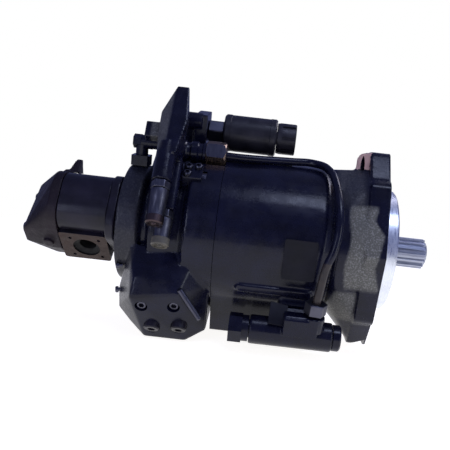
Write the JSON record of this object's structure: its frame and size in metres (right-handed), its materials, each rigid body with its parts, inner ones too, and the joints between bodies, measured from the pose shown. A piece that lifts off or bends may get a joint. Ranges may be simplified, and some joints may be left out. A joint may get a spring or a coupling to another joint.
{
  "type": "axial piston pump",
  "caption": "Black swashplate axial piston pump with a two-bolt flange, splined shaft, control valve, solenoid valve, power valve and a gear pump on its rear.",
  "frame": {"origin": "centre of the front mounting face, on the shaft axis", "axes": "+X along the shaft, out of its splined end; +Z along the line of the two mounting ears, towards the control valve; +Y completes the right-handed frame, away from the power valve"},
  "size_m": [0.417, 0.2026, 0.2527],
  "materials": {
    "black_gloss_paint": "gloss black enamel over sand casting",
    "dark_cast": "thin dark paint over aluminium extrusion",
    "machined_steel": "turned and ground steel",
    "plated_nut": "yellow-brown zinc plate",
    "black_plastic": "moulded black plastic",
    "pale_cap": "pale olive end cap",
    "brown_cap": "dark brown adjuster cap",
    "bronze": "bearing bronze",
    "seal_rubber": "black nitrile rubber"
  },
  "bodies": {
    "housing": {"pump_housing": "black_gloss_paint", "port_plate": "black_gloss_paint", "port_plate_screw_1": "machined_steel", "port_plate_screw_2": "machined_steel", "port_plate_screw_3": "machined_steel", "port_plate_screw_4": "machined_steel", "shaft_seal": "seal_rubber", "front_bearing_cup": "machined_steel", "rear_bearing_cup": "machined_steel", "valve_plate": "machined_steel", "cradle_bearing_left": "bronze", "cradle_bearing_right": "bronze", "bias_spring": "machined_steel", "control_valve_body": "black_gloss_paint", "pressure_lock_nut": "machined_steel", "flow_lock_nut": "machined_steel", "solenoid_base": "black_gloss_paint", "solenoid_tube": "machined_steel", "solenoid_coil": "black_plastic", "solenoid_socket": "black_plastic", "upper_adapter": "dark_cast", "upper_union_nut": "plated_nut", "control_pipe": "dark_cast", "lower_union_nut": "dark_cast", "power_valve_body": "black_gloss_paint", "power_valve_cap": "dark_cast", "power_valve_plug": "dark_cast", "drain_fitting": "black_gloss_paint", "nameplate": "black_plastic", "port_plug_1": "black_plastic", "port_plug_2": "black_plastic", "gear_pump_front_plate": "dark_cast", "gear_pump_body": "dark_cast", "gear_pump_rear_cover": "dark_cast"},
    "rotating_group": {"drive_shaft": "machined_steel", "cylinder_barrel": "bronze", "piston_1": "machined_steel", "piston_2": "machined_steel", "piston_3": "machined_steel", "piston_4": "machined_steel", "piston_5": "machined_steel", "piston_6": "machined_steel", "piston_7": "machined_steel", "piston_8": "machined_steel", "piston_9": "machined_steel", "retainer_ball": "machined_steel", "front_bearing_cone": "machined_steel", "rear_bearing_cone": "machined_steel", "coupling_sleeve": "machined_steel", "drive_gear": "machined_steel"},
    "slipper_ring": {"slipper_ring": "bronze"},
    "swashplate": {"swashplate": "machined_steel"},
    "idler_gear": {"idler_gear": "machined_steel"},
    "stroking_piston": {"stroking_piston": "machined_steel"},
    "bias_piston": {"bias_piston": "machined_steel"},
    "pressure_spool": {"pressure_spool": "machined_steel"},
    "flow_spool": {"flow_spool": "machined_steel"},
    "power_spool": {"power_valve_spool": "machined_steel"},
    "pressure_adjuster": {"pressure_adjuster": "brown_cap"},
    "flow_adjuster": {"flow_adjuster": "pale_cap"}
  },
  "joints": [
    {"name": "shaft_spin", "type": "hinge", "parent": "housing", "child": "rotating_group", "pos_m": [0, 0, 0], "axis": [1, 0, 0], "continuous": true},
    {"name": "idler_spin", "type": "hinge", "parent": "housing", "child": "idler_gear", "pos_m": [-0.3095, -0.02696, 0.01315], "axis": [1, 0, 0], "continuous": true},
    {"name": "swash_tilt", "type": "hinge", "parent": "housing", "child": "swashplate", "pos_m": [-0.09, 0, 0], "axis": [0, -1, 0], "range_deg": [0, 15]},
    {"name": "slipper_spin", "type": "hinge", "parent": "swashplate", "child": "slipper_ring", "pos_m": [-0.09, 0, 0], "axis": [1, 0, 0], "continuous": true},
    {"name": "stroking_slide", "type": "slide", "parent": "housing", "child": "stroking_piston", "axis": [1, 0, 0], "range_m": [-0.0156, 0]},
    {"name": "bias_slide", "type": "slide", "parent": "housing", "child": "bias_piston", "axis": [1, 0, 0], "range_m": [0, 0.0152]},
    {"name": "pressure_spool_slide", "type": "slide", "parent": "housing", "child": "pressure_spool", "axis": [0, -0.454, -0.891], "range_m": [-0.003, 0.003]},
    {"name": "flow_spool_slide", "type": "slide", "parent": "housing", "child": "flow_spool", "axis": [0, -0.454, -0.891], "range_m": [-0.003, 0.003]},
    {"name": "power_spool_slide", "type": "slide", "parent": "housing", "child": "power_spool", "axis": [1, 0, 0], "range_m": [-0.003, 0.003]},
    {"name": "pressure_adjust", "type": "hinge", "parent": "housing", "child": "pressure_adjuster", "pos_m": [-0.2208, -0.08411, 0.04286], "axis": [0, -0.454, -0.891], "range_deg": [-180, 180]},
    {"name": "flow_adjust", "type": "hinge", "parent": "housing", "child": "flow_adjuster", "pos_m": [-0.2153, -0.06905, 0.03518], "axis": [0, -0.454, -0.891], "range_deg": [-180, 180]}
  ],
  "couplings": [
    {"joint": "idler_spin", "follows": "shaft_spin", "ratio": -1},
    {"joint": "slipper_spin", "follows": "shaft_spin", "ratio": 1},
    {"joint": "stroking_slide", "follows": "swash_tilt", "m_per_rad": -0.0588},
    {"joint": "bias_slide", "follows": "swash_tilt", "m_per_rad": 0.057}
  ]
}
